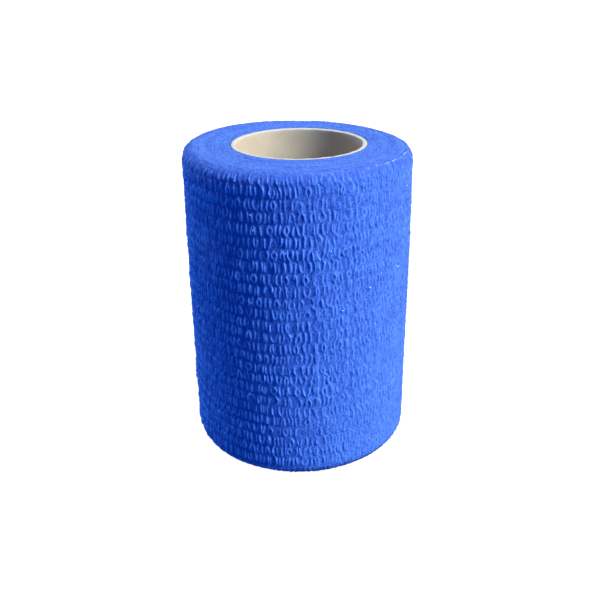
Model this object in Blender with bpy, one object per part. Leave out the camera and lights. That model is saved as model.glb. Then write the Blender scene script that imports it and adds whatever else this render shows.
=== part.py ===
"""Cohesive bandage roll: puckered elastic cloth wound on a card tube, standing on its end.

It runs by itself, with blender --background --python part.py or from Blender's text editor. Lengths are in
metres, +Z runs up the roll's axis, and the origin is in the middle of the face that the roll stands on.
"""

import math

import bmesh
import bpy

# The wound cloth
CLOTH_WIDTH = 0.075  # from cut edge to cut edge, so the roll's height
ROLL_RADIUS = 0.0275  # mean radius over the rows
ROLL_X = -0.0006  # the cloth's middle, which puts the origin in the middle of the whole roll's box
EDGE_ROUND = 0.0030  # the wall draws in over both end faces
LAYER = 0.00074  # one turn of cloth, so the step at its free end
END_ANGLE = math.radians(80.0)  # where the free end lies, behind the roll
END_SLOPE = math.radians(0.4)  # half the angle that the step takes

# Slack and pressure put the roll a little out of round
OVAL = 0.00085
OVAL_ANGLE = math.radians(118.0)
EGG = 0.00043  # blunter to +X than to -X
DENT = 0.0001

# Elastic threads draw the cloth in along lines round the roll, and the rows between them stand out
ROW_COUNT = 27
ROW_PITCH = CLOTH_WIDTH / ROW_COUNT
ROW_DEPTH = 0.00036
ROW_WANDER = 0.00022
ROW_PROFILE = (
    # place in the row, share of the row's depth
    (0.0, 0.0),
    (0.26, 1.0),
    (0.74, 1.0),
)
EDGE_STATION = 0.00018  # a ring this close to each end face rounds the edge off

# The card tube
TUBE_RADIUS = 0.01615
TUBE_WALL = 0.0012
TUBE_OFFSET = 0.0011  # the tube sits this far to +X of the cloth's middle
TUBE_CHAMFER = 0.00022
TOUCH_GAP = 0.0003  # room between the tube and the first turn

# How finely the round pieces are divided
ROLL_COLUMNS = 64
TUBE_COLUMNS = 56

SMOOTH_LIMIT = math.radians(35.0)

CLOTH_COLOUR = (0.075, 0.235, 0.90, 1.0)
CARD_COLOUR = (0.56, 0.53, 0.47, 1.0)


def clear_scene():
    """Removes whatever the file opened with."""
    for found in list(bpy.data.objects):
        bpy.data.objects.remove(found, do_unlink=True)


def plain_material(name, colour, roughness):
    """A Principled material of one colour."""
    material = bpy.data.materials.new(name)
    material.use_nodes = True
    shader = material.node_tree.nodes["Principled BSDF"]
    shader.inputs["Base Color"].default_value = colour
    shader.inputs["Roughness"].default_value = roughness
    shader.inputs["Metallic"].default_value = 0.0
    return material


def roll_angles():
    """Angles of the roll's columns, from just past the free end once round to just before it."""
    sweep = 2.0 * math.pi - 2.0 * END_SLOPE
    start = END_ANGLE + END_SLOPE
    return [start + sweep * i / (ROLL_COLUMNS - 1) for i in range(ROLL_COLUMNS)]


def edge_inset(height):
    """How far the rounded edges draw the wall in at a height."""
    depth = EDGE_ROUND - min(height, CLOTH_WIDTH - height)
    if depth <= 0.0:
        return 0.0
    return EDGE_ROUND - math.sqrt(max(EDGE_ROUND**2 - depth**2, 0.0))


def winding_growth(angle):
    """The outline grows by one layer in a turn, from half a layer under its mean to half a layer over."""
    turn = ((angle - END_ANGLE) / (2.0 * math.pi)) % 1.0
    return LAYER * (turn - 0.5)


def outline_radius(angle):
    """The wound cloth's radius about its middle: out of round, and growing with the winding."""
    oval = OVAL * math.cos(2.0 * (angle - OVAL_ANGLE))
    egg = EGG * math.cos(3.0 * angle)
    return ROLL_RADIUS + oval + egg + winding_growth(angle)


def unevenness(angle, height):
    """Shallow dents of a soft roll that has been handled."""
    share = height / CLOTH_WIDTH
    broad = math.sin(3.0 * angle + 4.0 * share)
    narrow = math.sin(5.0 * angle - 7.0 * share + 1.3)
    return DENT * (broad + 0.6 * narrow)


def row_wander(angle, height):
    """How far a thread strays up or down, which dies out at the cut edges."""
    to_edge = min(height, CLOTH_WIDTH - height)
    share = min(to_edge / (2.0 * ROW_PITCH), 1.0)
    wave = math.sin(3.0 * angle + 90.0 * height) + 0.5 * math.sin(7.0 * angle - 210.0 * height)
    return ROW_WANDER * share * wave


def wall_stations():
    """Heights up the wall, each with its share of the row's depth."""
    stations = [
        (row * ROW_PITCH + place * ROW_PITCH, share)
        for row in range(ROW_COUNT)
        for place, share in ROW_PROFILE
    ]
    stations.append((CLOTH_WIDTH, 0.0))
    stations.insert(1, (EDGE_STATION, 0.0))
    stations.insert(-1, (CLOTH_WIDTH - EDGE_STATION, 0.0))
    return stations


def wall_ring(angles, height, share):
    """One ring of points round the outside of the cloth."""
    ring = []
    for angle in angles:
        relief = ROW_DEPTH * (share - 0.5)
        radius = outline_radius(angle) + unevenness(angle, height) + relief - edge_inset(height)
        rise = height + row_wander(angle, height)
        ring.append((radius * math.cos(angle), radius * math.sin(angle), rise))
    return ring


def bore_ring(angles, height):
    """One ring of points round the hole in the cloth, clear of the tube all round."""
    radius = (TUBE_RADIUS + TOUCH_GAP) / math.cos(math.pi / ROLL_COLUMNS)
    return [
        (TUBE_OFFSET + radius * math.cos(angle), radius * math.sin(angle), height)
        for angle in angles
    ]


def tube_ring(radius, height):
    """One ring of points of the card tube."""
    step = 2.0 * math.pi / TUBE_COLUMNS
    return [
        (radius * math.cos(step * i), radius * math.sin(step * i), height)
        for i in range(TUBE_COLUMNS)
    ]


def skin(name, rings, material, middle_x):
    """Joins rings of equal length, and the last to the first, into one closed ring-shaped body."""
    shape = bmesh.new()
    loops = [[shape.verts.new(point) for point in ring] for ring in rings]
    count = len(loops[0])
    for lower, upper in zip(loops, loops[1:] + loops[:1]):
        for i in range(count):
            after = (i + 1) % count
            shape.faces.new((lower[i], lower[after], upper[after], upper[i]))
    mesh = bpy.data.meshes.new(name)
    shape.to_mesh(mesh)
    shape.free()
    mesh.shade_smooth()
    mesh.set_sharp_from_angle(angle=SMOOTH_LIMIT)
    mesh.materials.append(material)
    body = bpy.data.objects.new(name, mesh)
    body.location.x = middle_x
    bpy.context.scene.collection.objects.link(body)
    return body


def build_bandage():
    """The wound cloth: rows round the outside, flat end faces, and the hole for the tube."""
    angles = roll_angles()
    rings = [wall_ring(angles, height, share) for height, share in wall_stations()]
    rings.append(bore_ring(angles, CLOTH_WIDTH))
    rings.append(bore_ring(angles, 0.0))
    return skin("bandage", rings, plain_material("blue cloth", CLOTH_COLOUR, 0.95), ROLL_X)


def build_core():
    """The card tube: a plain wall with its four rims eased."""
    inner = TUBE_RADIUS - TUBE_WALL
    profile = (
        # radius, height
        (TUBE_RADIUS - TUBE_CHAMFER, 0.0),
        (TUBE_RADIUS, TUBE_CHAMFER),
        (TUBE_RADIUS, CLOTH_WIDTH - TUBE_CHAMFER),
        (TUBE_RADIUS - TUBE_CHAMFER, CLOTH_WIDTH),
        (inner + TUBE_CHAMFER, CLOTH_WIDTH),
        (inner, CLOTH_WIDTH - TUBE_CHAMFER),
        (inner, TUBE_CHAMFER),
        (inner + TUBE_CHAMFER, 0.0),
    )
    rings = [tube_ring(radius, height) for radius, height in profile]
    material = plain_material("grey card", CARD_COLOUR, 0.85)
    return skin("core", rings, material, ROLL_X + TUBE_OFFSET)


def main():
    """Builds the two pieces of the roll."""
    clear_scene()
    build_bandage()
    build_core()


main()
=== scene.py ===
"""Looks of a cohesive bandage roll: puckered blue cloth wound on a card tube, standing on a white table.

Lengths are in metres in the frame's own axes: +Z runs up the roll's axis, and the photo looks along +Y.
Angles round the roll are counted from +X towards +Y.
"""

from __future__ import annotations

import logging
import math
from dataclasses import dataclass, field
from enum import Enum
from typing import Sequence

import bpy
import numpy as np
from mathutils import Matrix, Vector

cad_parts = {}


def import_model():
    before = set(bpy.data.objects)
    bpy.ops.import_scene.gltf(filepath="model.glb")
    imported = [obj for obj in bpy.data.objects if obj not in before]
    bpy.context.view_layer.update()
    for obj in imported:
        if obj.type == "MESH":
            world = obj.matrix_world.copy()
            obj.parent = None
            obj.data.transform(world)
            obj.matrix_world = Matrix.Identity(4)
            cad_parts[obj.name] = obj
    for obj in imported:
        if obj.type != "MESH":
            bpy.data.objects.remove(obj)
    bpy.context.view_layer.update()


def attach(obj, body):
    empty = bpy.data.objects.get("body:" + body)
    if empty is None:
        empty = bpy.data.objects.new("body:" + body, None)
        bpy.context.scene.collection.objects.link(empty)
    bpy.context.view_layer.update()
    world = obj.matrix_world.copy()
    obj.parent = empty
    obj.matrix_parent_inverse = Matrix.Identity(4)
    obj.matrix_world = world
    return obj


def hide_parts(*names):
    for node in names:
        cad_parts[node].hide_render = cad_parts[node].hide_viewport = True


LOG = logging.getLogger("bandage roll")
MM = 0.001
FULL_TURN = 2.0 * math.pi
PHOTO_SIDE = 600.0

MIX_COLOURS = (6, 7)  # the Mix node's two colour inputs
MIX_RESULT = 2  # and its colour output

Array = np.ndarray
Chance = np.random.Generator
Colour = tuple[float, float, float, float]
Triple = tuple[float, float, float]
Socket = bpy.types.NodeSocket
Piece = bpy.types.Object
Material = bpy.types.Material


class EndFace(Enum):
    """The two flat ends of the roll, each by the way that it faces along Z."""

    TOP = 1.0
    BOTTOM = -1.0


@dataclass(frozen=True)
class RollForm:
    """The roll's own sizes, as its solids have them."""

    width: float = 75.0 * MM
    radius: float = 27.5 * MM
    middle_x: float = -0.6 * MM
    edge_round: float = 3.0 * MM
    layer: float = 0.74 * MM
    end_angle: float = math.radians(80.0)
    oval: float = 0.85 * MM
    oval_angle: float = math.radians(118.0)
    egg: float = 0.43 * MM
    dent: float = 0.1 * MM
    row_count: int = 27
    row_wander: float = 0.22 * MM
    tube_radius: float = 16.15 * MM
    tube_wall: float = 1.2 * MM
    tube_offset: float = 1.1 * MM

    @property
    def row_pitch(self) -> float:
        """Distance from one elastic thread to the next."""
        return self.width / self.row_count

    @property
    def tube_x(self) -> float:
        """Where the tube's axis stands."""
        return self.middle_x + self.tube_offset

    def turned(self, sweep: Array, start: float = 0.0) -> Array:
        """Angle from a start direction, between half a turn back and half a turn on."""
        return (self.end_angle + sweep - start + math.pi) % FULL_TURN - math.pi

    def outline(self, sweep: Array) -> Array:
        """Radius of the last turn's outer face about the cloth's middle.

        Args:
            sweep: Angle along the winding, 0 where the last turn starts and a full turn at the free end.

        Returns:
            The radius at each angle, growing by one layer in a turn.
        """
        angle = self.end_angle + sweep
        round_part = self.oval * np.cos(2.0 * (angle - self.oval_angle)) + self.egg * np.cos(3.0 * angle)
        return self.radius + round_part + self.layer * (sweep / FULL_TURN - 0.5)

    def dents(self, sweep: Array, height: Array) -> Array:
        """Shallow dents of a soft roll that has been handled.

        Args:
            sweep: Angle along the winding.
            height: Height up the roll.

        Returns:
            How far the wall stands out at each place.
        """
        angle = self.end_angle + sweep
        share = height / self.width
        broad = np.sin(3.0 * angle + 4.0 * share)
        narrow = np.sin(5.0 * angle - 7.0 * share + 1.3)
        return self.dent * (broad + 0.6 * narrow)

    def wander(self, sweep: Array, height: Array) -> Array:
        """How far a thread strays up or down, which dies out at the cut edges.

        Args:
            sweep: Angle along the winding.
            height: Height up the roll.

        Returns:
            The rise at each place.
        """
        angle = self.end_angle + sweep
        to_edge = np.minimum(height, self.width - height)
        share = np.clip(to_edge / (2.0 * self.row_pitch), 0.0, 1.0)
        wave = np.sin(3.0 * angle + 90.0 * height) + 0.5 * np.sin(7.0 * angle - 210.0 * height)
        return self.row_wander * share * wave


def soft_noise(rng: Chance, shape: tuple[int, int], cells: tuple[float, float]) -> Array:
    """Smooth noise with no grain finer than its cells.

    Args:
        rng: The seeded source of chance.
        shape: Rows and columns of the result.
        cells: How many waves fit along each side at the most.

    Returns:
        A field of mean 0 and deviation 1, which repeats past its sides.
    """
    spectrum = np.fft.rfft2(rng.standard_normal(shape))
    down = np.fft.fftfreq(shape[0], 1.0 / shape[0])[:, None] / cells[0]
    across = np.fft.rfftfreq(shape[1], 1.0 / shape[1])[None, :] / cells[1]
    spectrum *= np.exp(-(down**2 + across**2))
    spectrum[0, 0] = 0.0
    field_values = np.fft.irfft2(spectrum, s=shape)
    return field_values / field_values.std()


def smooth_step(low: float, high: float, values: Array) -> Array:
    """0 below low, 1 above high, and an easy slope between."""
    share = np.clip((values - low) / (high - low), 0.0, 1.0)
    return share * share * (3.0 - 2.0 * share)


class Signal:
    """One socket of a material, with arithmetic that adds its Math nodes."""

    def __init__(self, bench: Bench, socket: Socket) -> None:
        """Wraps a socket of the bench's material."""
        self.bench = bench
        self.socket = socket

    def _combine(self, operation: str, first: Signal | float, second: Signal | float) -> Signal:
        """Adds one Math node.

        Args:
            operation: The Math node's operation.
            first: Its first value or link.
            second: Its second value or link.

        Returns:
            The node's result.
        """
        made = self.bench.node("ShaderNodeMath", {"operation": operation}, {0: first, 1: second})
        return Signal(self.bench, made.outputs[0])

    def __add__(self, other: Signal | float) -> Signal:
        """Sum."""
        return self._combine("ADD", self, other)

    def __radd__(self, other: float) -> Signal:
        """Sum with a number on the left."""
        return self._combine("ADD", other, self)

    def __sub__(self, other: Signal | float) -> Signal:
        """Difference."""
        return self._combine("SUBTRACT", self, other)

    def __rsub__(self, other: float) -> Signal:
        """Difference from a number."""
        return self._combine("SUBTRACT", other, self)

    def __mul__(self, other: Signal | float) -> Signal:
        """Product."""
        return self._combine("MULTIPLY", self, other)

    def __pow__(self, power: float) -> Signal:
        """Power."""
        return self._combine("POWER", self, power)

    def __abs__(self) -> Signal:
        """Size without sign."""
        return self._combine("ABSOLUTE", self, 0.0)

    def whole(self) -> Signal:
        """The whole number at or under it."""
        return self._combine("FLOOR", self, 0.0)

    def part(self) -> Signal:
        """What is left over the whole number."""
        return self._combine("FRACT", self, 0.0)

    def eased(self, low: float, high: float, start: float = 0.0, end: float = 1.0) -> Signal:
        """Start below low, end above high, with an easy slope between.

        Args:
            low: Where the slope begins.
            high: Where it ends.
            start: The value before it.
            end: The value after it.

        Returns:
            The eased value.
        """
        inputs = {"Value": self, "From Min": low, "From Max": high, "To Min": start, "To Max": end}
        made = self.bench.node("ShaderNodeMapRange", {"interpolation_type": "SMOOTHSTEP"}, inputs)
        return Signal(self.bench, made.outputs[0])


class Bench:
    """A new material and the means to lay out its nodes."""

    def __init__(self, name: str) -> None:
        """Makes an empty node material of that name."""
        self.material = bpy.data.materials.new(name)
        self.material.use_nodes = True
        self.tree = self.material.node_tree
        self.tree.nodes.clear()

    def node(self, kind: str, settings: dict, inputs: dict) -> bpy.types.Node:
        """Adds a node.

        Args:
            kind: The node's type.
            settings: Its properties, set first; "stops" gives a ramp's places and colours.
            inputs: Values, sockets or signals by input name or number.

        Returns:
            The node.
        """
        made = self.tree.nodes.new(kind)
        for name, value in settings.items():
            if name == "stops":
                self._set_stops(made, value)
            else:
                setattr(made, name, value)
        for key, value in inputs.items():
            if isinstance(value, Signal):
                self.tree.links.new(value.socket, made.inputs[key])
            elif isinstance(value, Socket):
                self.tree.links.new(value, made.inputs[key])
            else:
                made.inputs[key].default_value = value
        return made

    @staticmethod
    def _set_stops(ramp: bpy.types.Node, stops: Sequence[tuple[float, Colour]]) -> None:
        """Gives a ramp its places and colours.

        Args:
            ramp: The Color Ramp node.
            stops: Each place from 0 to 1, with its colour.
        """
        elements = ramp.color_ramp.elements
        while len(elements) < len(stops):
            elements.new(0.5)
        for element, (place, colour) in zip(elements, stops):
            element.position = place
            element.color = colour

    def signal(self, node: bpy.types.Node, output: str | int = 0) -> Signal:
        """One output of a node, ready for arithmetic."""
        return Signal(self, node.outputs[output])

    def place_mm(self, scale: Triple = (1.0, 1.0, 1.0)) -> Socket:
        """Object coordinates in millimetres, stretched by scale."""
        return self._millimetres(self.node("ShaderNodeTexCoord", {}, {}).outputs["Object"], scale)

    def cloth_mm(self, scale: Triple = (1.0, 1.0, 1.0)) -> Socket:
        """The cloth's own map in millimetres, along its length and across it, stretched by scale."""
        return self._millimetres(self.node("ShaderNodeUVMap", {"uv_map": "cloth"}, {}).outputs["UV"], scale)

    def _millimetres(self, vector: Socket, scale: Triple) -> Socket:
        """Turns a place in metres to millimetres and stretches it."""
        stretch = tuple(share / MM for share in scale)
        return self.node("ShaderNodeMapping", {}, {"Vector": vector, "Scale": stretch}).outputs["Vector"]

    def noise(self, vector: Socket, scale: float, detail: float, roughness: float = 0.5) -> Signal:
        """Noise from 0 to 1.

        Args:
            vector: Where it is read.
            scale: Waves in each unit of the vector.
            detail: Octaves.
            roughness: Share that each finer octave keeps.

        Returns:
            The noise's factor.
        """
        inputs = {"Vector": vector, "Scale": scale, "Detail": detail, "Roughness": roughness}
        return self.signal(self.node("ShaderNodeTexNoise", {}, inputs), "Fac")

    def attribute(self, name: str) -> Signal:
        """A number that the mesh carries at its points."""
        return self.signal(self.node("ShaderNodeAttribute", {"attribute_name": name}, {}), "Fac")

    def ridge_line(self) -> Signal:
        """A thin line along each ridge's crest, from the ridge numbers that the mesh carries.

        Returns:
            1 on the crest and 0 beside it.
        """
        bend = self.noise(self.cloth_mm(), 1.1, 2.0) - 0.5
        number = self.attribute("ridge") + bend * 0.28
        return abs((number + 0.5).part() - 0.5).eased(0.03, 0.21, 1.0, 0.0)

    def wrinkle_net(self, row_pitch: float) -> Signal:
        """Fine crests that join round small pits, one band of them in each row between two threads.

        Args:
            row_pitch: Height of a row in millimetres.

        Returns:
            1 on the crests and 0 in the pits.
        """
        bend = self.noise(self.cloth_mm(), 1.3, 1.0) - 0.5
        split = self.node("ShaderNodeSeparateXYZ", {}, {0: self.cloth_mm()})
        along = self.signal(split, "X")
        across = self.signal(split, "Y") * (1.0 / row_pitch)
        row = across.whole()
        in_row = across.part()
        net_x = along * 0.92 + row * 3.71 + bend * 0.6
        net_y = row * 5.3 + in_row * 1.15 + bend * 0.3
        place = self.node("ShaderNodeCombineXYZ", {}, {"X": net_x, "Y": net_y, "Z": 0.0})
        settings = {"voronoi_dimensions": "2D", "feature": "DISTANCE_TO_EDGE"}
        inputs = {"Vector": place.outputs[0], "Scale": 1.0, "Randomness": 0.9}
        cells = self.node("ShaderNodeTexVoronoi", settings, inputs)
        line = self.signal(cells, "Distance").eased(0.015, 0.24, 1.0, 0.0)
        fade = 1.0 - abs(in_row * 2.0 - 1.0) ** 6.0
        return line * fade

    def ramp(self, factor: Signal, stops: Sequence[tuple[float, Colour]]) -> Socket:
        """Colours along a factor."""
        return self.node("ShaderNodeValToRGB", {"stops": stops}, {"Fac": factor}).outputs["Color"]

    def mix(self, factor: Signal, below: Socket, above: Colour) -> Socket:
        """Goes from one colour to another as the factor goes from 0 to 1."""
        first, second = MIX_COLOURS
        made = self.node("ShaderNodeMix", {"data_type": "RGBA"}, {0: factor, first: below, second: above})
        return made.outputs[MIX_RESULT]

    def bump(self, height: Signal, strength: float, distance: float) -> Socket:
        """Relief that the light sees.

        Args:
            height: The relief, 0 to 1.
            strength: How much of it shows.
            distance: Its depth in metres.

        Returns:
            The bent normal.
        """
        inputs = {"Height": height, "Strength": strength, "Distance": distance}
        return self.node("ShaderNodeBump", {}, inputs).outputs["Normal"]

    def finish(self, inputs: dict) -> Material:
        """Ends the material in one Principled shader.

        Args:
            inputs: The shader's sockets by name.

        Returns:
            The material.
        """
        shader = self.node("ShaderNodeBsdfPrincipled", {}, inputs)
        self.node("ShaderNodeOutputMaterial", {}, {"Surface": shader.outputs["BSDF"]})
        return self.material


@dataclass(frozen=True)
class PuckeredCloth:
    """The cloth's face: felted fibres, with painted shade in the pits between puckers and painted light on
    their crests.
    """

    # pit is painted shade, body the cloth's own blue, crest painted light on the ridges
    pit: Colour = (0.010, 0.062, 0.44, 1.0)
    body: Colour = (0.053, 0.160, 0.68, 1.0)
    crest: Colour = (0.094, 0.240, 0.83, 1.0)
    frayed: Colour = (0.42, 0.60, 0.94, 1.0)
    roughness: float = 0.88

    def material(self) -> Material:
        """The node material of the last turn."""
        bench = Bench("puckered blue cloth")
        fine = bench.noise(bench.place_mm(), 2.1, 4.0, 0.66)
        patch = bench.noise(bench.place_mm(), 0.22, 3.0)
        creased = bench.noise(bench.cloth_mm((1.0, 0.34, 1.0)), 2.1, 3.0, 0.55)
        net = bench.wrinkle_net(RollForm().row_pitch / MM)
        line = bench.ridge_line() * bench.attribute("standing")
        # painted shade and light: the crest level darkens the pits and lightens the crests, and the ridge
        # lines and the wrinkle net paint pale highlights along the crests
        level = bench.attribute("crest") * 0.80 + line * 0.62 + net * 0.14 + (fine - 0.5) * 1.7
        level = level + (patch - 0.5) * 0.38 + (creased - 0.5) * 0.2
        stops = ((0.10, self.pit), (0.50, self.body), (0.92, self.crest))
        broken = bench.noise(bench.place_mm(), 1.7, 3.0).eased(0.48, 0.60)
        frayed = bench.attribute("fray") * broken * 0.75
        colour = bench.mix(frayed, bench.ramp(level, stops), self.frayed)
        relief = fine * 1.2 + creased * 0.3 + net * 0.3 + line * 1.0
        return bench.finish(
            {
                "Base Color": colour,
                "Roughness": self.roughness,
                "Specular IOR Level": 0.6,
                "Normal": bench.bump(relief, 0.42, 0.3 * MM),
            }
        )


@dataclass(frozen=True)
class CutEdges:
    """The end faces: the cut edges of every turn side by side, felted together, with painted shade in the
    grooves between them and painted light on their tips.
    """

    # groove is painted shade and tip painted light; body is the cloth's own blue
    groove: Colour = (0.012, 0.060, 0.40, 1.0)
    body: Colour = (0.032, 0.120, 0.60, 1.0)
    tip: Colour = (0.075, 0.202, 0.72, 1.0)
    roughness: float = 0.85

    def material(self) -> Material:
        """The node material of the wound turns."""
        bench = Bench("cut edges of blue cloth")
        fine = bench.noise(bench.place_mm(), 1.7, 5.0, 0.72)
        patch = bench.noise(bench.place_mm(), 0.35, 3.0)
        level = bench.attribute("crest") + (fine - 0.5) * 1.9 + (patch - 0.5) * 0.24
        stops = ((0.12, self.groove), (0.52, self.body), (0.92, self.tip))
        return bench.finish(
            {
                "Base Color": bench.ramp(level, stops),
                "Roughness": self.roughness,
                "Specular IOR Level": 0.6,
                "Normal": bench.bump(fine, 0.95, 0.5 * MM),
            }
        )


@dataclass(frozen=True)
class GreyCard:
    """The tube's card: grey-beige board with flecks and a pale cut rim."""

    shade: Colour = (0.38, 0.300, 0.232, 1.0)
    body: Colour = (0.45, 0.372, 0.300, 1.0)
    light: Colour = (0.52, 0.446, 0.378, 1.0)
    rim: Colour = (0.40, 0.40, 0.37, 1.0)
    roughness: float = 0.78

    def material(self) -> Material:
        """The node material of the card tube."""
        bench = Bench("grey card")
        fibre = bench.noise(bench.place_mm((1.0, 1.0, 0.35)), 2.2, 5.0, 0.6)
        cloud = bench.noise(bench.place_mm(), 0.12, 3.0)
        level = 0.5 + (fibre - 0.5) * 0.5 + (cloud - 0.5) * 0.7
        stops = ((0.15, self.shade), (0.5, self.body), (0.9, self.light))
        colour = bench.mix(bench.attribute("rim"), bench.ramp(level, stops), self.rim)
        return bench.finish(
            {
                "Base Color": colour,
                "Roughness": self.roughness,
                "Specular IOR Level": 0.3,
                "Normal": bench.bump(fibre, 0.35, 0.08 * MM),
            }
        )


@dataclass(frozen=True)
class PaleFibre:
    """Flecks of lint or, in their own colours, the ends of elastic threads, with a faint glow that stands
    in for their glints.
    """

    name: str = "pale lint"
    colour: Colour = (0.66, 0.82, 0.98, 1.0)
    core: Colour = (0.34, 0.54, 0.95, 1.0)

    def material(self) -> Material:
        """The node material of threads and lint."""
        bench = Bench(self.name)
        fine = bench.noise(bench.place_mm(), 2.5, 2.0)
        stops = ((0.35, self.core), (0.62, self.colour))
        return bench.finish(
            {
                "Base Color": bench.ramp(fine, stops),
                "Roughness": 0.6,
                # a painted glint: the lint and the thread ends glow faintly, though they are no lamp
                "Emission Color": self.colour,
                "Emission Strength": 0.08,
            }
        )


@dataclass(frozen=True)
class WhiteTable:
    """A white table top with a glow of its own, so that it stays white in the shade."""

    glow: float = 1.0
    top: Colour = (0.4, 0.36, 0.3, 1.0)

    def material(self) -> Material:
        """The node material of the table top."""
        bench = Bench("white table")
        return bench.finish(
            {
                "Base Color": self.top,
                "Roughness": 0.9,
                "Specular IOR Level": 0.1,
                "Emission Color": (1.0, 1.0, 1.0, 1.0),
                "Emission Strength": self.glow,
            }
        )


def deselect() -> None:
    """Leaves nothing selected, so that an operator acts on its own piece alone."""
    bpy.ops.object.select_all(action="DESELECT")


def dress(piece: Piece, material: Material) -> None:
    """Gives a piece its material and its body.

    Args:
        piece: The finished piece.
        material: Its node material.
    """
    piece.data.materials.clear()
    piece.data.materials.append(material)
    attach(piece, "root")


def triangle_count(piece: Piece) -> int:
    """How many triangles the piece has."""
    return sum(len(face.vertices) - 2 for face in piece.data.polygons)


@dataclass
class TurnedShell:
    """A closed outline swept round the roll's axis, whose points keep their station and column."""

    name: str
    outline: Array
    columns: int
    sweep: float = FULL_TURN

    @property
    def closed(self) -> bool:
        """Whether the sweep comes back to its start."""
        return self.sweep >= FULL_TURN

    def build(self) -> Piece:
        """Draws the outline as a loop, turns it round the axis and closes the ends."""
        deselect()
        bpy.ops.mesh.primitive_circle_add(vertices=len(self.outline), radius=MM, fill_type="NOTHING")
        piece = bpy.context.object
        piece.name = piece.data.name = self.name
        corners = np.zeros((len(self.outline), 3))
        corners[:, 0] = self.outline[:, 0]
        corners[:, 2] = self.outline[:, 1]
        piece.data.vertices.foreach_set("co", corners.ravel())
        turn = piece.modifiers.new("turn", "SCREW")
        turn.angle = self.sweep
        turn.steps = turn.render_steps = self.columns
        turn.use_merge_vertices = self.closed
        turn.merge_threshold = 0.001 * MM
        bpy.ops.object.modifier_apply(modifier="turn")
        bpy.ops.object.mode_set(mode="EDIT")
        if not self.closed:
            bpy.ops.mesh.select_all(action="SELECT")
            bpy.ops.mesh.fill_holes(sides=0)
            bpy.ops.mesh.select_all(action="DESELECT")
            bpy.ops.mesh.select_face_by_sides(number=4, type="GREATER")
            bpy.ops.mesh.quads_convert_to_tris()
        bpy.ops.mesh.select_all(action="SELECT")
        bpy.ops.mesh.normals_make_consistent(inside=False)
        bpy.ops.object.mode_set(mode="OBJECT")
        deselect()
        piece.select_set(True)
        bpy.ops.object.shade_smooth()
        return piece

    def grid(self, piece: Piece) -> tuple[Array, Array]:
        """Finds which station and which column each point belongs to.

        Args:
            piece: The shell, before its points have moved.

        Returns:
            Station numbers and column numbers, one for each point.
        """
        places = points_of(piece)
        radius = np.hypot(places[:, 0], places[:, 1])
        apart = np.abs(radius[:, None] - self.outline[None, :, 0])
        apart += np.abs(places[:, 2][:, None] - self.outline[None, :, 1])
        spare = 0.5 * self.sweep / self.columns
        angle = (np.arctan2(places[:, 1], places[:, 0]) + spare) % FULL_TURN - spare
        column = np.rint(angle / self.sweep * self.columns).astype(np.int32)
        return apart.argmin(axis=1), column % (self.columns if self.closed else self.columns + 1)


def points_of(piece: Piece) -> Array:
    """The piece's points, one in each line."""
    places = np.zeros(len(piece.data.vertices) * 3)
    piece.data.vertices.foreach_get("co", places)
    return places.reshape(-1, 3)


def set_points(piece: Piece, places: Array) -> None:
    """Moves the piece's points."""
    piece.data.vertices.foreach_set("co", np.ascontiguousarray(places, dtype=np.float32).ravel())
    piece.data.update()


def set_number(piece: Piece, name: str, values: Array) -> None:
    """Stores a number at each of the piece's points, for its material."""
    layer = piece.data.attributes.new(name, "FLOAT", "POINT")
    layer.data.foreach_set("value", np.ascontiguousarray(values, dtype=np.float32))


def set_map(piece: Piece, along: Array, across: Array) -> None:
    """Gives the piece the cloth's own map.

    Args:
        piece: The piece.
        along: Distance along the cloth at each point.
        across: Distance across it.
    """
    mesh = piece.data
    corners = np.zeros(len(mesh.loops), dtype=np.int32)
    mesh.loops.foreach_get("vertex_index", corners)
    layer = mesh.uv_layers.new(name="cloth")
    pairs = np.column_stack([along[corners], across[corners]])
    layer.data.foreach_set("uv", pairs.astype(np.float32).ravel())


@dataclass(frozen=True)
class ClothFace:
    """The outer face of a length of cloth, by station across it and column along it.

    Attributes:
        along: Distance along the cloth.
        height: How far the face stands out about its mean.
        level: How pale the cloth is painted, 0 in a pit and 1 on a crest: painted shade in the pits and
            painted light on the crests.
        standing: How tall the ridge is there, 0 to 1.
        numbers: By column alone, the ridge's number, whole on each crest.
    """

    along: Array
    height: Array
    level: Array
    standing: Array
    numbers: Array


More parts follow.
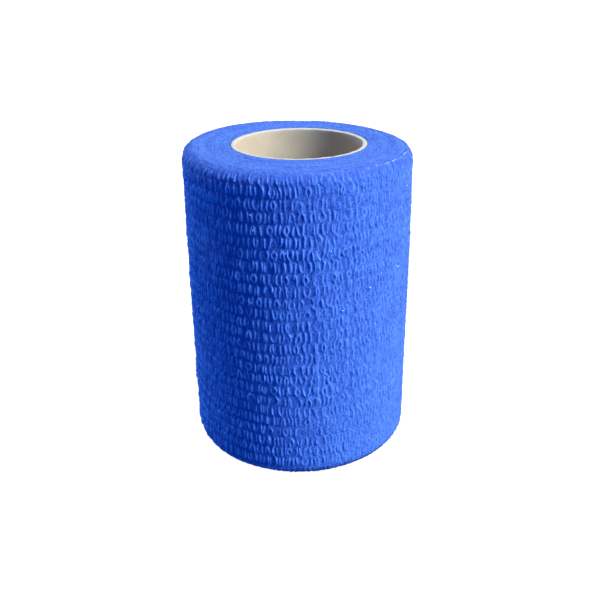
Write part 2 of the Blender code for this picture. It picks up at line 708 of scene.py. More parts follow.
@dataclass
class Puckers:
    """The puckers of relaxed elastic cloth: short upright ridges in rows between its threads.

    Each row has its own ridges. Neighbours often lean together at one end or both, so that they enclose
    small pits, and every ridge dips where a thread crosses it.
    """

    form: RollForm
    ridge_pitch: float = 0.96 * MM
    ridge_width: float = 0.14 * MM
    ridge_height: float = 0.44 * MM
    stagger: float = 0.22 * MM
    stray: float = 0.14 * MM
    stray_limit: float = 0.46 * MM
    drift: float = 0.08 * MM
    bow: float = 0.12 * MM
    gaps: tuple[float, float] = (0.68, 1.36)  # between ridges, about their pitch
    heights: tuple[float, float] = (0.60, 1.12)
    reaches: tuple[float, float] = (0.35, 0.55)  # from a ridge's middle, in rows
    weak_share: float = 0.14
    weak_height: float = 0.35
    closing: float = 0.84  # how far the ends of a closed pair lean together
    closed_both: float = 0.20  # share of pairs that close at both ends
    closed_once: float = 0.36  # and at one end
    runs_on: float = 0.17  # how much of a ridge crosses a thread
    row_bulge: float = 0.045 * MM
    bridge: float = 0.08 * MM
    felt: float = 0.055 * MM
    tone: float = 0.44  # how pale a flat face is, 0 to 1
    # how strongly the pits are painted darker and the ridges paler
    pucker_shade_gain: float = 1.45
    # painted light along the threads, and painted shade in their creases
    thread_painted_light: float = 0.30
    thread_painted_shade: float = 0.17
    # painted light: how much paler the foot of the roll is than its top
    foot_painted_light: float = 0.16
    places_in_row: tuple[float, ...] = (0.0, 0.17, 0.39, 0.61, 0.83)
    seed: int = 41

    def stations(self) -> Array:
        """Distances across the cloth, from its lower cut edge to its upper one."""
        places = [
            (row + place) * self.form.row_pitch
            for row in range(self.form.row_count)
            for place in self.places_in_row
        ]
        return np.array([*places, self.form.width])

    def ridge_lines(self, rng: Chance, home: Array) -> tuple[Array, Array, Array]:
        """Lays one row's ridges.

        Args:
            rng: The seeded source of chance.
            home: Each ridge's mean place along the cloth.

        Returns:
            Where each ridge starts, where it passes the row's middle and where it ends.
        """
        count = len(home)
        strays = np.clip(rng.normal(0.0, self.stray, count), -self.stray_limit, self.stray_limit)
        centre = np.maximum.accumulate(home + strays)
        low = centre + rng.normal(0.0, 0.7 * self.bow, count)
        high = centre + rng.normal(0.0, 0.7 * self.bow, count)
        middle = centre + rng.normal(0.0, 0.6 * self.bow, count)
        lefts = np.arange(rng.integers(2), count - 1, 2)
        chance = rng.random(len(lefts))
        both = chance < self.closed_both
        lower = both | (chance > 1.0 - 0.5 * self.closed_once)
        once_above = (chance >= self.closed_both) & (chance < self.closed_both + 0.5 * self.closed_once)
        upper = both | once_above
        for line, closed in ((low, lower), (high, upper)):
            left = lefts[closed]
            shared = 0.5 * (line[left] + line[left + 1])
            line[left] += (shared - line[left]) * self.closing
            line[left + 1] += (shared - line[left + 1]) * self.closing
        middle[lefts[both]] -= self.bow
        middle[lefts[both] + 1] += self.bow
        return np.maximum.accumulate(low), np.maximum.accumulate(middle), np.maximum.accumulate(high)

    def row(self, rng: Chance, middles: Array, home: Array, columns: Array) -> tuple[Array, Array]:
        """Lays one row's points along its ridges.

        Args:
            rng: The seeded source of chance.
            middles: Each ridge's mean place along the cloth.
            home: The column that each ridge keeps, between the first column and the last.
            columns: Distance along the cloth of each column.

        Returns:
            Distance along the cloth and ridge height, 0 to about 1, by place in the row and column. The
            first place is the thread's, and is left at 0 for the caller.
        """
        count = len(middles)
        low, middle, high = self.ridge_lines(rng, middles)
        tall = rng.uniform(*self.heights, count)
        tall = tall * np.where(rng.random(count) < self.weak_share, self.weak_height, 1.0)
        widths = self.ridge_width * rng.uniform(0.85, 1.3, count)
        centres = rng.normal(0.5, 0.12, count)
        reaches = rng.uniform(*self.reaches, count)
        numbers = np.arange(len(columns))
        knots = np.array([0.0, *home, len(columns) - 1.0])
        along = [np.zeros(len(columns))]
        heights = [np.zeros(len(columns))]
        for place in self.places_in_row[1:]:
            to_low = min(max((0.5 - place) / 0.36, 0.0), 1.0) ** 1.3
            to_high = min(max((place - 0.5) / 0.36, 0.0), 1.0) ** 1.3
            crests = middle + (low - middle) * to_low + (high - middle) * to_high
            points = np.interp(numbers, knots, np.array([columns[0], *crests, columns[-1]]))
            apart = (points[:, None] - crests[None, :]) / widths[None, :]
            strength = tall * np.exp(-((np.abs(place - centres) / reaches) ** 4))
            along.append(points)
            heights.append((strength[None, :] * np.exp(-0.5 * apart**2)).max(axis=1))
        return np.array(along), np.array(heights)

    def lay_rows(self, rng: Chance, middles: Array, home: Array, columns: Array) -> tuple[Array, Array]:
        """Lays every row, each a little to one side of the row under it.

        Args:
            rng: The seeded source of chance.
            middles: Each ridge's mean place along the cloth.
            home: The column that each ridge keeps, between the first column and the last.
            columns: Distance along the cloth of each column.

        Returns:
            Distance along the cloth and ridge height, by station and column.
        """
        drift = self.drift * soft_noise(rng, (self.form.row_count, len(middles)), (9.0, 16.0))
        margin = 0.1 * MM
        rows = []
        for row in range(self.form.row_count):
            shift = drift[row] + (self.stagger if row % 2 else -self.stagger)
            placed = np.clip(middles + shift, margin, columns[-1] - margin)
            rows.append(self.row(rng, np.maximum.accumulate(placed), home, columns))
        along = np.concatenate([row[0] for row in rows] + [rows[-1][0][-1:]], axis=0)
        ridges = np.concatenate([row[1] for row in rows] + [rows[-1][1][-1:]], axis=0)
        return along, ridges

    def cross_threads(self, rng: Chance, along: Array, ridges: Array, row_show: Array) -> None:
        """Fills in the thread lines, where most ridges stop and a few run on into the next row.

        Args:
            rng: The seeded source of chance.
            along: Distance along the cloth, by station and column, changed in place.
            ridges: Ridge height, by station and column, changed in place.
            row_show: How far the threads draw the cloth in, one for each column.
        """
        in_row = len(self.places_in_row)
        along[0], ridges[0] = along[1], ridges[1]
        for line in range(in_row, len(ridges) - 1, in_row):
            along[line] = 0.5 * (along[line - 1] + along[line + 1])
            loose = self.runs_on * soft_noise(rng, (2, len(row_show)), (1.0, 130.0))[0]
            held = np.clip(0.02 + 0.06 * (1.0 - row_show) + loose, 0.0, 1.0)
            ridges[line] = held * np.maximum(ridges[line - 1], ridges[line + 1])

    def relief(self, length: float, row_show: Array, slack: Array) -> ClothFace:
        """Lays out the cloth's whole face.

        Args:
            length: Length of the cloth.
            row_show: How far the threads draw the cloth in, 0 to 1, one for each column of points.
            slack: How slack the cloth is, so how deep its puckers are, one for each column.

        Returns:
            The face.
        """
        rng = np.random.default_rng(self.seed)
        last = len(row_show) - 1
        count = int(length / self.ridge_pitch)
        gaps = rng.uniform(*self.gaps, count + 1)
        middles = np.cumsum(gaps)[:-1] / gaps.sum() * length
        home = np.rint(middles / length * last)
        along, ridges = self.lay_rows(rng, middles, home, np.linspace(0.0, length, last + 1))
        self.cross_threads(rng, along, ridges, row_show)
        across = self.stations()
        pinch = np.abs(np.sin(math.pi * (across / self.form.row_pitch % 1.0)))[:, None]
        pinch[-1] = 0.0
        patchy = 1.0 + 0.16 * soft_noise(rng, ridges.shape, (9.0, 14.0))
        felt = soft_noise(rng, ridges.shape, (70.0, 230.0))
        row_depth = np.clip(1.0 + 0.5 * soft_noise(rng, ridges.shape, (27.0, 10.0)), 0.1, 2.0) * row_show
        upward = smooth_step(0.1 * self.form.width, 0.75 * self.form.width, across)[:, None]
        standing = ridges * patchy * self.edge_fade(across)[:, None] * (0.84 + 0.22 * upward)
        at_thread = (1.0 - pinch) ** 2
        height = self.ridge_height * slack * (standing - 0.16)
        height = height + self.row_bulge * (pinch**0.6 - 0.6) * row_depth
        height += self.bridge * slack * at_thread * (1.0 - row_show)
        height += self.felt * felt
        # painted shade in the pits and painted light on the ridges, strongest where the cloth is slack
        level = self.tone + self.pucker_shade_gain * slack**1.4 * (0.76 * standing - 0.22)
        # painted shade in the thread creases where the rows show, and painted light along the threads where
        # the rows hardly show
        level += at_thread * (self.thread_painted_light * slack * (1.0 - row_show) - self.thread_painted_shade * row_depth)
        # painted light: paler towards the bottom of the roll and darker towards the top
        level += self.foot_painted_light * (0.5 - upward)
        numbers = np.interp(np.arange(last + 1), [0.0, *home, last], np.arange(count + 2.0))
        standing_share = np.clip(standing * slack, 0.0, 1.0)
        return ClothFace(along, height, np.clip(level, 0.0, 1.0), standing_share, numbers)

    def edge_fade(self, across: Array) -> Array:
        """How tall the puckers are near the cut edges, least at the lower one, which bears the roll.

        Args:
            across: Distance across the cloth.

        Returns:
            A share of their full height.
        """
        lower = 0.20 + 0.80 * smooth_step(0.0, 4.5 * MM, across)
        upper = 0.30 + 0.70 * smooth_step(0.0, 3.0 * MM, self.form.width - across)
        return lower * upper


@dataclass
class LastTurn:
    """The outermost turn of cloth, from a little under its own free end once round to that end."""

    form: RollForm
    thickness: float = 0.64 * MM
    overlap: float = 0.13
    columns: int = 694
    inner_places: tuple[float, ...] = (1.0, 0.96, 0.04, 0.0)
    proud: float = 0.27 * MM
    proud_from: float = math.radians(-52.0)
    proud_to: float = math.radians(-12.0)
    proud_fade: float = math.radians(9.0)
    slackest: float = math.radians(-118.0)
    least_slack: float = 0.40
    rows_leave: tuple[float, float] = (math.radians(-124.0), math.radians(-78.0))
    rows_return: tuple[float, float] = (math.radians(100.0), math.radians(180.0))
    half_rows: tuple[float, float] = (0.0, math.radians(70.0))
    least_rows: float = 0.04
    end_rise: float = 0.16 * MM
    shoulder: tuple[float, float] = (3.6 * MM, 0.8 * MM)  # from the upper cut edge
    puckers: Puckers = field(init=False)

    def __post_init__(self) -> None:
        """Makes the puckers for this roll."""
        self.puckers = Puckers(self.form)

    @property
    def sweep(self) -> float:
        """The angle that the last turn takes."""
        return FULL_TURN + self.overlap

    @property
    def length(self) -> float:
        """The last turn's length along the cloth."""
        return self.form.radius * self.sweep

    def section(self) -> tuple[Array, Array]:
        """The turn's section, from the lower cut edge up the outer face and down the inner one.

        Returns:
            Distance across the cloth and depth into it from 0 to 1, one pair for each station.
        """
        outer = self.puckers.stations()
        inner = self.form.width * np.array(self.inner_places)
        across = np.concatenate([outer, [self.form.width], inner, [0.0]])
        depth = np.concatenate([np.zeros(len(outer)), [0.5], np.ones(len(inner)), [0.5]])
        return across, depth

    def on_roll(self, sweep: Array, across: Array, lift: Array) -> Array:
        """Lays the cloth on the roll, curled in over both rounded edges.

        Args:
            sweep: Angle along the winding.
            across: Distance across the cloth.
            lift: Distance out from the last turn's smooth face.

        Returns:
            Points in the frame.
        """
        form = self.form
        across = across + form.wander(sweep, across)
        above = np.clip((across - (form.width - form.edge_round)) / form.edge_round, 0.0, 1.2)
        below = np.clip((form.edge_round - across) / form.edge_round, 0.0, 1.2)
        bend = above - below
        straight = np.clip(across, form.edge_round, form.width - form.edge_round)
        reach = form.edge_round + lift
        outline = form.outline(sweep) + form.dents(sweep, across)
        radius = outline - form.edge_round + reach * np.cos(bend)
        height = straight + reach * np.sin(bend)
        angle = form.end_angle + sweep
        x = form.middle_x + radius * np.cos(angle)
        return np.column_stack([x, radius * np.sin(angle), height])

    def build(self, material: Material) -> Piece:
        """Models the turn and puts its puckers in.

        Args:
            material: The cloth's finish.

        Returns:
            The last turn.
        """
        across, depth = self.section()
        apart = 0.2 * MM * (across > 0.5 * self.form.width)
        start = np.column_stack([30.0 * MM - 2.0 * MM * depth, across + apart])
        shell = TurnedShell("last_turn", start, self.columns, sweep=6.0)
        piece = shell.build()
        station, column = shell.grid(piece)
        sweeps = np.linspace(-self.overlap, FULL_TURN, self.columns + 1)
        face = self.puckers.relief(self.length, self.row_show(sweeps), self.slack(sweeps))
        whole = self.all_round(face, sweeps, across)
        along = whole.along[station, column]
        sweep = along / self.form.radius - self.overlap
        sweep = sweep + self.end_scallop(across[station], sweep)
        lift = whole.height[station, column] + self.end_lift(sweep)
        places = self.on_roll(sweep, across[station], lift)
        places[:, 2] = np.maximum(places[:, 2], 0.0)
        set_points(piece, places)
        set_number(piece, "crest", np.clip(whole.level[station, column], 0.0, 1.0))
        set_number(piece, "standing", whole.standing[station, column])
        set_number(piece, "ridge", whole.numbers[column])
        set_number(piece, "fray", self.fray(across[station], sweep) * (1.0 - 0.8 * depth[station]))
        set_map(piece, along, across[station])
        dress(piece, material)
        return piece

    def all_round(self, face: ClothFace, sweeps: Array, across: Array) -> ClothFace:
        """Carries the outer face round both cut edges to the inner face, dresses the upper edge and paints
        shade on the shoulder under it.

        Args:
            face: The outer face.
            sweeps: Angle along the winding, one for each column.
            across: Distance across the cloth, one for each station of the whole section.

        Returns:
            The face of the whole section.
        """
        width = self.form.width
        outer = len(face.height)
        shape = (len(across), len(sweeps))
        along = np.broadcast_to(self.form.radius * (sweeps + self.overlap), shape).copy()
        lift = np.full(shape, -self.thickness)
        level = np.full(shape, 0.45)
        standing = np.zeros(shape)
        along[:outer], lift[:outer] = face.along, face.height
        level[:outer], standing[:outer] = face.level, face.standing
        shoulder = smooth_step(width - self.shoulder[0], width - self.shoulder[1], across)[:, None]
        # painted shade along the shoulder under the upper cut edge, with fainter painted crest lines there
        level -= 0.20 * shoulder
        standing *= 1.0 - 0.6 * shoulder
        top_share = smooth_step(width - 2.5 * MM, width, across)[:, None]
        lift[:outer] += (top_share * self.edge_height(sweeps)[None, :])[:outer]
        lift[outer] = 0.5 * (lift[outer - 1] - self.thickness)
        lift[-1] = 0.5 * (lift[0] - self.thickness)
        return ClothFace(along, lift, level, standing, face.numbers)

    def slack(self, sweeps: Array) -> Array:
        """How slack the cloth lies: most on the front left, least on the right where it was pulled tight.

        Args:
            sweeps: Angle along the winding.

        Returns:
            The slack at each angle, up to 1.
        """
        off = self.form.turned(sweeps, self.slackest)
        share = (0.5 + 0.5 * np.cos(off)) ** np.where(off < 0.0, 1.2, 4.0)
        return self.least_slack + (1.0 - self.least_slack) * share

    def row_show(self, sweeps: Array) -> Array:
        """How far the threads draw the cloth in: most on the left, less behind, hardly at all on the right.

        Args:
            sweeps: Angle along the winding.

        Returns:
            The share at each angle, up to 1.
        """
        angle = self.form.turned(sweeps)
        left = np.maximum(1.0 - smooth_step(*self.rows_leave, angle), smooth_step(*self.rows_return, angle))
        behind = smooth_step(*self.half_rows, angle)
        return self.least_rows + (1.0 - self.least_rows) * np.maximum(left, 0.45 * behind)

    def edge_height(self, sweeps: Array) -> Array:
        """How far the upper cut edge stands proud, which is along the front right.

        Args:
            sweeps: Angle along the winding.

        Returns:
            The height at each angle.
        """
        rng = np.random.default_rng(7)
        ragged = soft_noise(rng, (4, len(sweeps)), (1.0, 120.0))[0]
        return self.proud_share(sweeps) * (self.proud + 0.12 * MM * ragged)

    def proud_share(self, sweeps: Array) -> Array:
        """Where the upper cut edge stands proud and frays.

        Args:
            sweeps: Angle along the winding.

        Returns:
            1 along that stretch, fading to 0 elsewhere.
        """
        angle = self.form.turned(sweeps)
        fade = self.proud_fade
        rising = smooth_step(self.proud_from - fade, self.proud_from + fade, angle)
        return rising * (1.0 - smooth_step(self.proud_to - fade, self.proud_to + fade, angle))

    def fray(self, across: Array, sweep: Array) -> Array:
        """How frayed the cloth is: along the proud edge, and a little at the free end.

        Args:
            across: Distance across the cloth.
            sweep: Angle along the winding.

        Returns:
            The fray at each place, 0 to 1.
        """
        at_edge = smooth_step(self.form.width - 0.30 * MM, self.form.width, across)
        at_end = smooth_step(FULL_TURN - 0.012, FULL_TURN, sweep) * 0.35
        return np.clip(at_edge * self.proud_share(sweep) + at_end, 0.0, 1.0)

    def end_lift(self, sweep: Array) -> Array:
        """The free end eases up a little from the turn under it."""
        return self.end_rise * smooth_step(FULL_TURN - 0.14, FULL_TURN, sweep)

    def end_scallop(self, across: Array, sweep: Array) -> Array:
        """The cut end bulges between the threads that draw it back.

        Args:
            across: Distance across the cloth.
            sweep: Angle along the winding.

        Returns:
            How much further round each point lies.
        """
        in_row = across / self.form.row_pitch % 1.0
        bulge = np.abs(np.sin(math.pi * in_row)) - 0.5
        waver = 0.6 * np.sin(across * 160.0) + 0.4 * np.sin(across * 410.0 + 1.0)
        near_end = smooth_step(FULL_TURN - 0.10, FULL_TURN, sweep)
        return near_end * (0.30 * MM * bulge + 0.35 * MM * waver) / self.form.radius


@dataclass
class WoundTurns:
    """All the turns under the last one, whose cut edges make the two end faces."""

    form: RollForm
    cover: float = 0.70 * MM
    turns: int = 15
    columns: int = 640
    face_stations: int = 60
    arc_stations: int = 12
    groove: float = 0.07 * MM
    felt: float = 0.040 * MM
    clearance: float = 0.06 * MM
    ridge_count: int = 150
    ridge_reach: float = 2.6 * MM
    ridge_height: float = 0.16 * MM

    def section(self) -> tuple[Array, Array]:
        """The half section from the hidden wall over the top face to the tube.

        Returns:
            Bend round the rounded edge and share of the way in, one pair for each station. A bend under
            1 radian lies beneath the last turn.
        """
        under = np.array([0.0, 0.5, 0.93])
        arc = np.linspace(1.01, 0.5 * math.pi, self.arc_stations)
        flat = np.linspace(0.0, 1.0, self.face_stations)[1:]
        bend = np.concatenate([under, arc, np.full(len(flat), 0.5 * math.pi)])
        share = np.concatenate([np.zeros(len(under) + len(arc)), flat])
        return bend, share

    def half_face(self, face: EndFace, sweeps: Array) -> tuple[Array, Array]:
        """Points and crest levels of one half section at each angle.

        Args:
            face: Which end of the roll.
            sweeps: Angles along the winding, one for each column.

        Returns:
            Points by station and column, and their level of painted shade and light.
        """
        form = self.form
        bend, share = self.section()
        bent, share = bend[:, None], share[:, None]
        outline = form.outline(sweeps) + 0.5 * form.dents(sweeps, np.full_like(sweeps, form.width))
        angle = form.end_angle + sweeps
        bore = self.bore_radius(angle)
        edge = (outline - form.edge_round)[None, :]
        reach = form.edge_round - self.cover * (1.0 - smooth_step(0.55, 0.99, bent))
        radius = edge + reach * np.cos(bent) + share * (bore - edge)
        sink, level = self.cut_edges(face, sweeps, outline - radius, outline - bore)
        reach = reach - np.where(bent < 1.0, 0.0, sink) * smooth_step(0.0, 0.3 * MM, radius - bore)
        radius = edge + np.where(share > 0.0, 0.0, reach * np.cos(bent)) + share * (bore - edge)
        height = form.width - form.edge_round + reach * np.sin(bent)
        if face is EndFace.BOTTOM:
            height = np.maximum(form.width - height, 0.0)
        # painted shade on the rounded edge, deepest where it meets the last turn
        level = level - 0.10 * (1.0 - smooth_step(1.0, 0.5 * math.pi, bent))
        points = np.stack([form.middle_x + radius * np.cos(angle), radius * np.sin(angle), height], axis=-1)
        return points, np.clip(level, 0.0, 1.0)

    def cut_edges(self, face: EndFace, sweeps: Array, depth_in: Array, room: Array) -> tuple[Array, Array]:
        """The grooves between the turns, the felted cut edges and the puckers' ends, with painted shade in
        the grooves and painted light on the raised felt.

        Args:
            face: Which end of the roll.
            sweeps: Angles along the winding, one for each column.
            depth_in: Distance in from the roll's outline, by station and column.
            room: Distance from the outline to the tube, one for each column.

        Returns:
            How far each point sinks, and its level of painted shade and light, low in the grooves and high
            on raised felt.
        """
        rng = np.random.default_rng(11 if face is EndFace.TOP else 12)
        phase = depth_in / room * self.turns - sweeps / FULL_TURN
        jitter = 0.16 * soft_noise(rng, phase.shape, (12.0, 60.0))
        valley = np.exp(-((((phase + jitter) % 1.0 - 0.5) / 0.17) ** 2))
        depth = 1.0 + 0.7 * soft_noise(rng, phase.shape, (9.0, 14.0))
        uneven = self.felt * soft_noise(rng, phase.shape, (30.0, 300.0))
        uneven += 0.03 * MM * soft_noise(rng, phase.shape, (5.0, 6.0))
        uneven += self.ridge_height * self.edge_ridges(rng, self.form.end_angle + sweeps, depth_in)
        sink = self.groove * valley * np.clip(depth, 0.0, 2.0) - uneven + 0.06 * MM
        # painted shade in the grooves and painted light on the raised felt
        return sink, 0.52 - 0.16 * valley * depth + 0.06 * uneven / self.felt

    def edge_ridges(self, rng: Chance, angle: Array, depth_in: Array) -> Array:
        """The puckers' ends, which comb over the rounded edge and die out on the end face.

        Args:
            rng: The seeded source of chance.
            angle: Angle of each column.
            depth_in: Distance in from the roll's outline, by station and column.

        Returns:
            Ridge heights, 0 to about 1.
        """
        count = self.ridge_count
        places = (np.arange(count) + rng.uniform(-0.3, 0.3, count)) * FULL_TURN / count
        reaches = self.ridge_reach * rng.uniform(0.35, 1.15, count)
        tall = rng.uniform(0.5, 1.2, count)
        slants = rng.normal(0.0, 0.012, count)
        found = np.zeros_like(depth_in)
        turned = angle % FULL_TURN
        for place, reach, height, slant in zip(places, reaches, tall, slants):
            apart = (turned - place + math.pi) % FULL_TURN - math.pi
            near = np.flatnonzero(np.abs(apart) < 0.05)
            bent = apart[None, near] - slant * depth_in[:, near] / MM
            fading = 1.0 - smooth_step(0.3 * reach, reach, depth_in[:, near])
            line = height * np.exp(-0.5 * (bent / 0.0078) ** 2) * fading
            found[:, near] = np.maximum(found[:, near], line)
        return found

    def bore_radius(self, angle: Array) -> Array:
        """How far out the tube lies.

        Args:
            angle: Angle round the cloth's middle.

        Returns:
            The radius about the cloth's middle of the hole that the tube fills.
        """
        offset = self.form.tube_offset
        size = self.form.tube_radius + self.clearance
        return offset * np.cos(angle) + np.sqrt(size**2 - (offset * np.sin(angle)) ** 2)

    def build(self, material: Material) -> Piece:
        """Models the wound turns as one closed ring.

        Args:
            material: The cut edges' finish.

        Returns:
            The wound turns.
        """
        bend, _ = self.section()
        count = len(bend)
        steps = np.arange(count)
        rise = self.form.width * 0.5 + 10.0 * MM + 0.1 * MM * steps
        upper = np.column_stack([28.0 * MM - 0.1 * MM * steps, rise])
        lower = np.column_stack([upper[::-1, 0], self.form.width - upper[::-1, 1]])
        shell = TurnedShell("wound_turns", np.concatenate([upper, lower]), self.columns)
        piece = shell.build()
        station, column = shell.grid(piece)
        sweeps = np.linspace(0.0, FULL_TURN, self.columns + 1)[:-1]
        top, top_level = self.half_face(EndFace.TOP, sweeps)
        bottom, bottom_level = self.half_face(EndFace.BOTTOM, sweeps)
        places = np.concatenate([top, bottom[::-1]], axis=0)
        levels = np.concatenate([top_level, bottom_level[::-1]], axis=0)
        set_points(piece, places[station, column])
        set_number(piece, "crest", levels[station, column])
        dress(piece, material)
        return piece


@dataclass
class CardTube:
    """The short card tube: a wound board wall with a faint ply seam and slightly furry cut rims."""

    form: RollForm
    sides: int = 256
    levels: int = 72
    seam_rise: float = 52.0 * MM
    seam_depth: float = 0.07 * MM

    def build(self, material: Material) -> Piece:
        """Models the tube from an open cylinder.

        Args:
            material: The card's finish.

        Returns:
            The tube.
        """
        form = self.form
        deselect()
        bpy.ops.mesh.primitive_cylinder_add(
            vertices=self.sides,
            radius=form.tube_radius,
            depth=form.width,
            end_fill_type="NOTHING",
            location=(form.tube_x, 0.0, 0.5 * form.width),
        )
        piece = bpy.context.object
        piece.name = piece.data.name = "card_tube"
        bpy.ops.object.transform_apply(location=True, rotation=True, scale=True)
        bpy.ops.object.mode_set(mode="EDIT")
        for level in range(1, self.levels):
            bpy.ops.mesh.select_all(action="SELECT")
            cut = (0.0, 0.0, form.width * level / self.levels)
            bpy.ops.mesh.bisect(plane_co=cut, plane_no=(0.0, 0.0, 1.0))
        bpy.ops.mesh.select_all(action="SELECT")
        bpy.ops.mesh.normals_make_consistent(inside=False)
        bpy.ops.object.mode_set(mode="OBJECT")
        wall = piece.modifiers.new("wall", "SOLIDIFY")
        wall.thickness = form.tube_wall
        wall.offset = -1.0
        wall.use_even_offset = True
        bpy.ops.object.modifier_apply(modifier="wall")
        rims = piece.modifiers.new("rims", "BEVEL")
        rims.width = 0.3 * MM
        rims.segments = 4
        rims.limit_method = "ANGLE"
        rims.angle_limit = math.radians(50.0)
        bpy.ops.object.modifier_apply(modifier="rims")
        self.weather(piece)
        bpy.ops.object.shade_smooth()
        dress(piece, material)
        return piece

    def weather(self, piece: Piece) -> None:
        """Presses the ply seam into the bore and roughens the cut rims.

        Args:
            piece: The tube, whose points are moved.
        """
        form = self.form
        places = points_of(piece)
        out = places[:, :2] - np.array([form.tube_x, 0.0])
        radius = np.hypot(out[:, 0], out[:, 1])
        angle = np.arctan2(out[:, 1], out[:, 0])
        inside = radius < form.tube_radius - 0.5 * form.tube_wall
        turn = (places[:, 2] / self.seam_rise - angle / FULL_TURN) % 1.0
        seam = smooth_step(0.0, 0.012, turn) * (1.0 - smooth_step(0.012, 0.5, turn))
        to_rim = np.minimum(places[:, 2], form.width - places[:, 2])
        at_rim = 1.0 - smooth_step(0.0, 0.3 * MM, to_rim)
        ragged = 0.5 * np.sin(23.0 * angle + 1.0) + 0.3 * np.sin(57.0 * angle)
        ragged += 0.35 * np.sin(101.0 * angle + 2.0)
        seam_part = np.where(inside, self.seam_depth * (0.5 - seam), 0.0)
        radius = radius + seam_part + at_rim * 0.03 * MM * ragged
        sign = np.where(places[:, 2] > 0.5 * form.width, -1.0, 1.0)
        places[:, 2] += sign * at_rim * 0.05 * MM * (1.0 + ragged) * np.where(inside, 1.0, 0.5)
        places[:, 0] = form.tube_x + radius * np.cos(angle)
        places[:, 1] = radius * np.sin(angle)
        set_points(piece, places)
        set_number(piece, "rim", 1.0 - smooth_step(0.10 * MM, 0.40 * MM, to_rim))


@dataclass
class Lint:
    """Small loose matter: pale flecks caught on the cloth, and the threads' ends at the cut end."""

    form: RollForm
    last_turn: LastTurn
    seen: tuple[tuple[float, float], ...] = (
        # degrees to the right of the front, millimetres up
        (63.0, 68.0),
        (-19.0, 62.5),
        (-20.0, 65.8),
        (-4.5, 57.5),
        (1.5, 57.5),
        (15.5, 57.5),
        (56.5, 49.5),
        (43.0, 49.5),
        (-10.5, 49.0),
        (36.0, 47.0),
        (21.5, 43.0),
        (-21.0, 45.5),
    )
    unseen: int = 26
    seed: int = 5

    def fleck_places(self) -> list[tuple[float, float, float]]:
        """Chooses where the flecks lie.

        Returns:
            Angle along the winding, height and size of each.
        """
        rng = np.random.default_rng(self.seed)
        front = -0.5 * math.pi - self.form.end_angle
        found = [
            ((front + math.radians(degrees)) % FULL_TURN, height * MM, rng.uniform(0.15, 0.25) * MM)
            for degrees, height in self.seen
        ]
        for _ in range(self.unseen):
            degrees = rng.uniform(95.0, 265.0)
            height = self.form.width * rng.beta(2.0, 1.3)
            height = float(np.clip(height, 3.0 * MM, self.form.width - 3.0 * MM))
            sweep = (front + math.radians(degrees)) % FULL_TURN
            found.append((sweep, height, rng.uniform(0.12, 0.22) * MM))
        return found

    def build_flecks(self, material: Material) -> Piece:
        """Models each fleck as a lump of its own size and sets it on the wall.

        Args:
            material: The lint's finish.

        Returns:
            The flecks as one piece.
        """
        rng = np.random.default_rng(self.seed + 1)
        made = []
        for sweep, height, size in self.fleck_places():
            lift = np.array([0.24 * MM])
            spot = self.last_turn.on_roll(np.array([sweep]), np.array([height]), lift)[0]
            deselect()
            bpy.ops.mesh.primitive_ico_sphere_add(subdivisions=1, radius=size, location=tuple(spot))
            fleck = bpy.context.object
            fleck.scale = tuple(rng.uniform(0.45, 1.2, 3))
            fleck.rotation_euler = tuple(rng.uniform(0.0, math.pi, 3))
            made.append(fleck)
        return self.join(made, "lint_flecks", material)

    def build_thread_ends(self, material: Material) -> Piece:
        """Models the ends of some of the elastic threads, which stand out of the cut end.

        Args:
            material: The threads' finish.

        Returns:
            The thread ends as one piece.
        """
        rng = np.random.default_rng(self.seed + 2)
        made = []
        for row in range(self.form.row_count + 1):
            across = float(np.clip(row * self.form.row_pitch, 0.3 * MM, self.form.width - 0.3 * MM))
            reach = rng.uniform(0.25, 1.3) * MM
            if rng.random() < 0.4:
                continue
            steps = np.linspace(-0.6 * MM, reach, 7)
            sweep = FULL_TURN + steps / self.form.radius
            drop = smooth_step(0.0, 1.0 * MM, steps) * self.form.layer * 0.8
            bend = rng.normal(0.0, 0.35) * np.clip(steps, 0.0, 1.0) ** 2 / reach
            lift = -0.5 * self.last_turn.thickness + 0.12 * MM - drop + 0.3 * MM
            line = self.last_turn.on_roll(sweep, across + bend, lift)
            made.append(self.thread(line, 0.05 * MM))
        return self.join(made, "thread_ends", material)

    @staticmethod
    def thread(line: Array, radius: float) -> Piece:
        """Models a thin round thread.

        Args:
            line: The points that it follows.
            radius: Its radius.

        Returns:
            The thread, as a mesh.
        """
        curve = bpy.data.curves.new("thread", "CURVE")
        curve.dimensions = "3D"
        curve.bevel_depth = radius
        curve.bevel_resolution = 1
        curve.use_fill_caps = True
        spline = curve.splines.new("POLY")
        spline.points.add(len(line) - 1)
        for point, place in zip(spline.points, line):
            point.co = (*place, 1.0)
        thread = bpy.data.objects.new("thread", curve)
        bpy.context.scene.collection.objects.link(thread)
        deselect()
        thread.select_set(True)
        bpy.context.view_layer.objects.active = thread
        bpy.ops.object.convert(target="MESH")
        return bpy.context.object

    @staticmethod
    def join(made: list[Piece], name: str, material: Material) -> Piece:
        """Joins small pieces into one.

        Args:
            made: The small pieces.
            name: The joined piece's name.
            material: Its finish.

        Returns:
            The joined piece, with its place in its mesh.
        """
        deselect()
        for piece in made:
            piece.select_set(True)
        bpy.context.view_layer.objects.active = made[0]
        bpy.ops.object.join()
        piece = bpy.context.object
        piece.name = piece.data.name = name
        bpy.ops.object.transform_apply(location=True, rotation=True, scale=True)
        bpy.ops.object.shade_smooth()
        dress(piece, material)
        return piece


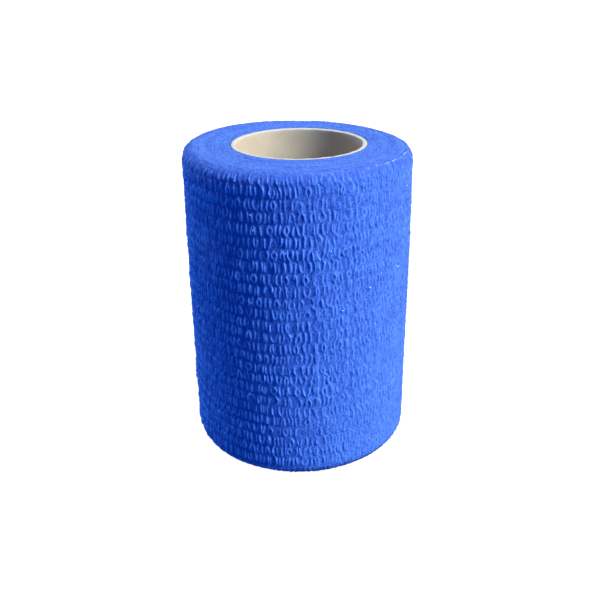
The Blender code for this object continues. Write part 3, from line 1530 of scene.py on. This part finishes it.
@dataclass(frozen=True)
class Lamp:
    """A square soft light that looks at the roll's middle.

    Attributes:
        name: The light's name.
        azimuth: Its direction from the roll in degrees, from +X towards +Y.
        elevation: Its height in degrees.
        size: Its side in metres.
        power: Its power in watts.
        tint: Its colour.
        distance: How far away it stands in metres.
    """

    name: str
    azimuth: float
    elevation: float
    size: float
    power: float
    tint: Triple
    distance: float = 0.9

    def hang(self, aim: Vector) -> None:
        """Adds the light.

        Args:
            aim: The point that it looks at.
        """
        data = bpy.data.lights.new(self.name, "AREA")
        data.size = self.size
        data.energy = self.power
        data.color = self.tint
        light = bpy.data.objects.new(self.name, data)
        azimuth = math.radians(self.azimuth)
        elevation = math.radians(self.elevation)
        level = math.cos(elevation)
        way = Vector((math.cos(azimuth) * level, math.sin(azimuth) * level, math.sin(elevation)))
        light.location = way * self.distance + aim
        light.rotation_euler = way.to_track_quat("Z", "Y").to_euler()
        bpy.context.scene.collection.objects.link(light)


@dataclass
class Studio:
    """A white table, a soft key light from the right, weaker tinted ones all round, and the camera."""

    form: RollForm
    camera_back: float = 194.0 * MM
    camera_height: float = 120.5 * MM
    focal_pixels: float = 829.5
    pitch: float = 0.4181
    yaw: float = 0.0048
    roll: float = -0.0107
    haze: Colour = (0.06, 0.42, 1.0, 1.0)
    haze_strength: float = 0.13
    lamps: tuple[Lamp, ...] = (
        Lamp("key_light", azimuth=-24.0, elevation=43.0, size=0.38, power=17.4, tint=(0.88, 0.98, 0.94)),
        Lamp("back_light", azimuth=148.0, elevation=3.0, size=0.25, power=7.0, tint=(0.14, 0.54, 1.0)),
        Lamp("fill_light", azimuth=-112.0, elevation=6.0, size=1.2, power=4.1, tint=(0.04, 0.38, 1.0)),
        Lamp("top_light", azimuth=150.0, elevation=70.0, size=0.3, power=4.6, tint=(1.0, 0.80, 0.58)),
        Lamp("low_light", azimuth=-50.0, elevation=-60.0, size=0.4, power=1.5, tint=(0.3, 0.62, 1.0)),
        Lamp("side_light", azimuth=5.0, elevation=25.0, size=0.5, power=2.6, tint=(1.0, 0.42, 0.2)),
    )

    def build(self) -> None:
        """Sets up the table, the lights and the camera."""
        self.table()
        for lamp in self.lamps:
            lamp.hang(Vector((0.0, 0.0, 0.5 * self.form.width)))
        self.sky()
        self.camera()
        scene = bpy.context.scene
        scene.view_settings.view_transform = "Standard"
        scene.view_settings.look = "None"

    def table(self) -> None:
        """A wide white table top under the roll."""
        deselect()
        bpy.ops.mesh.primitive_plane_add(size=6.0, location=(0.0, 0.0, -0.02 * MM))
        top = bpy.context.object
        top.name = "table_top"
        top.data.materials.append(WhiteTable().material())
        top.visible_diffuse = False
        top.visible_glossy = False
        top.visible_shadow = False

    def sky(self) -> None:
        """White behind the table, and a dim light from all round."""
        world = bpy.data.worlds.new("studio")
        world.use_nodes = True
        tree = world.node_tree
        tree.nodes.clear()
        path = tree.nodes.new("ShaderNodeLightPath")
        dim = tree.nodes.new("ShaderNodeBackground")
        dim.inputs["Color"].default_value = self.haze
        dim.inputs["Strength"].default_value = self.haze_strength
        white = tree.nodes.new("ShaderNodeBackground")
        white.inputs["Color"].default_value = (1.0, 1.0, 1.0, 1.0)
        both = tree.nodes.new("ShaderNodeMixShader")
        end = tree.nodes.new("ShaderNodeOutputWorld")
        tree.links.new(path.outputs["Is Camera Ray"], both.inputs[0])
        tree.links.new(dim.outputs[0], both.inputs[1])
        tree.links.new(white.outputs[0], both.inputs[2])
        tree.links.new(both.outputs[0], end.inputs["Surface"])
        bpy.context.scene.world = world

    def camera(self) -> None:
        """The photo's viewpoint, fitted to the roll's outline."""
        data = bpy.data.cameras.new("photo_view")
        data.sensor_width = 36.0
        data.lens = self.focal_pixels / PHOTO_SIDE * data.sensor_width
        data.clip_start = 0.01
        camera = bpy.data.objects.new("photo_view", data)
        turn = Matrix.Rotation(-self.yaw, 4, "Z")
        tilt = Matrix.Rotation(0.5 * math.pi - self.pitch, 4, "X")
        level = Matrix.Rotation(self.roll, 4, "Z")
        place = Matrix.Translation((self.form.middle_x, -self.camera_back, self.camera_height))
        camera.matrix_world = place @ turn @ tilt @ level
        bpy.context.scene.collection.objects.link(camera)
        bpy.context.scene.camera = camera


def main() -> None:
    """Builds the roll's pieces in order and sets up the studio."""
    logging.basicConfig(level=logging.INFO, format="%(name)s: %(message)s")
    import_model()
    form = RollForm()
    cloth = PuckeredCloth().material()
    fibre = PaleFibre().material()
    thread = PaleFibre("dyed thread", (0.22, 0.42, 0.92, 1.0), (0.10, 0.26, 0.84, 1.0)).material()
    last_turn = LastTurn(form)
    turn = last_turn.build(cloth)
    wound = WoundTurns(form).build(CutEdges().material())
    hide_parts("bandage")
    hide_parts("bandage")
    tube = CardTube(form).build(GreyCard().material())
    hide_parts("core")
    lint = Lint(form, last_turn)
    flecks = lint.build_flecks(fibre)
    threads = lint.build_thread_ends(thread)
    last_turn.length
    for piece in (turn, wound, tube, flecks, threads):
        LOG.info("%s: %d triangles", piece.name, triangle_count(piece))
    Studio(form).build()


if __name__ == "__main__":
    main()
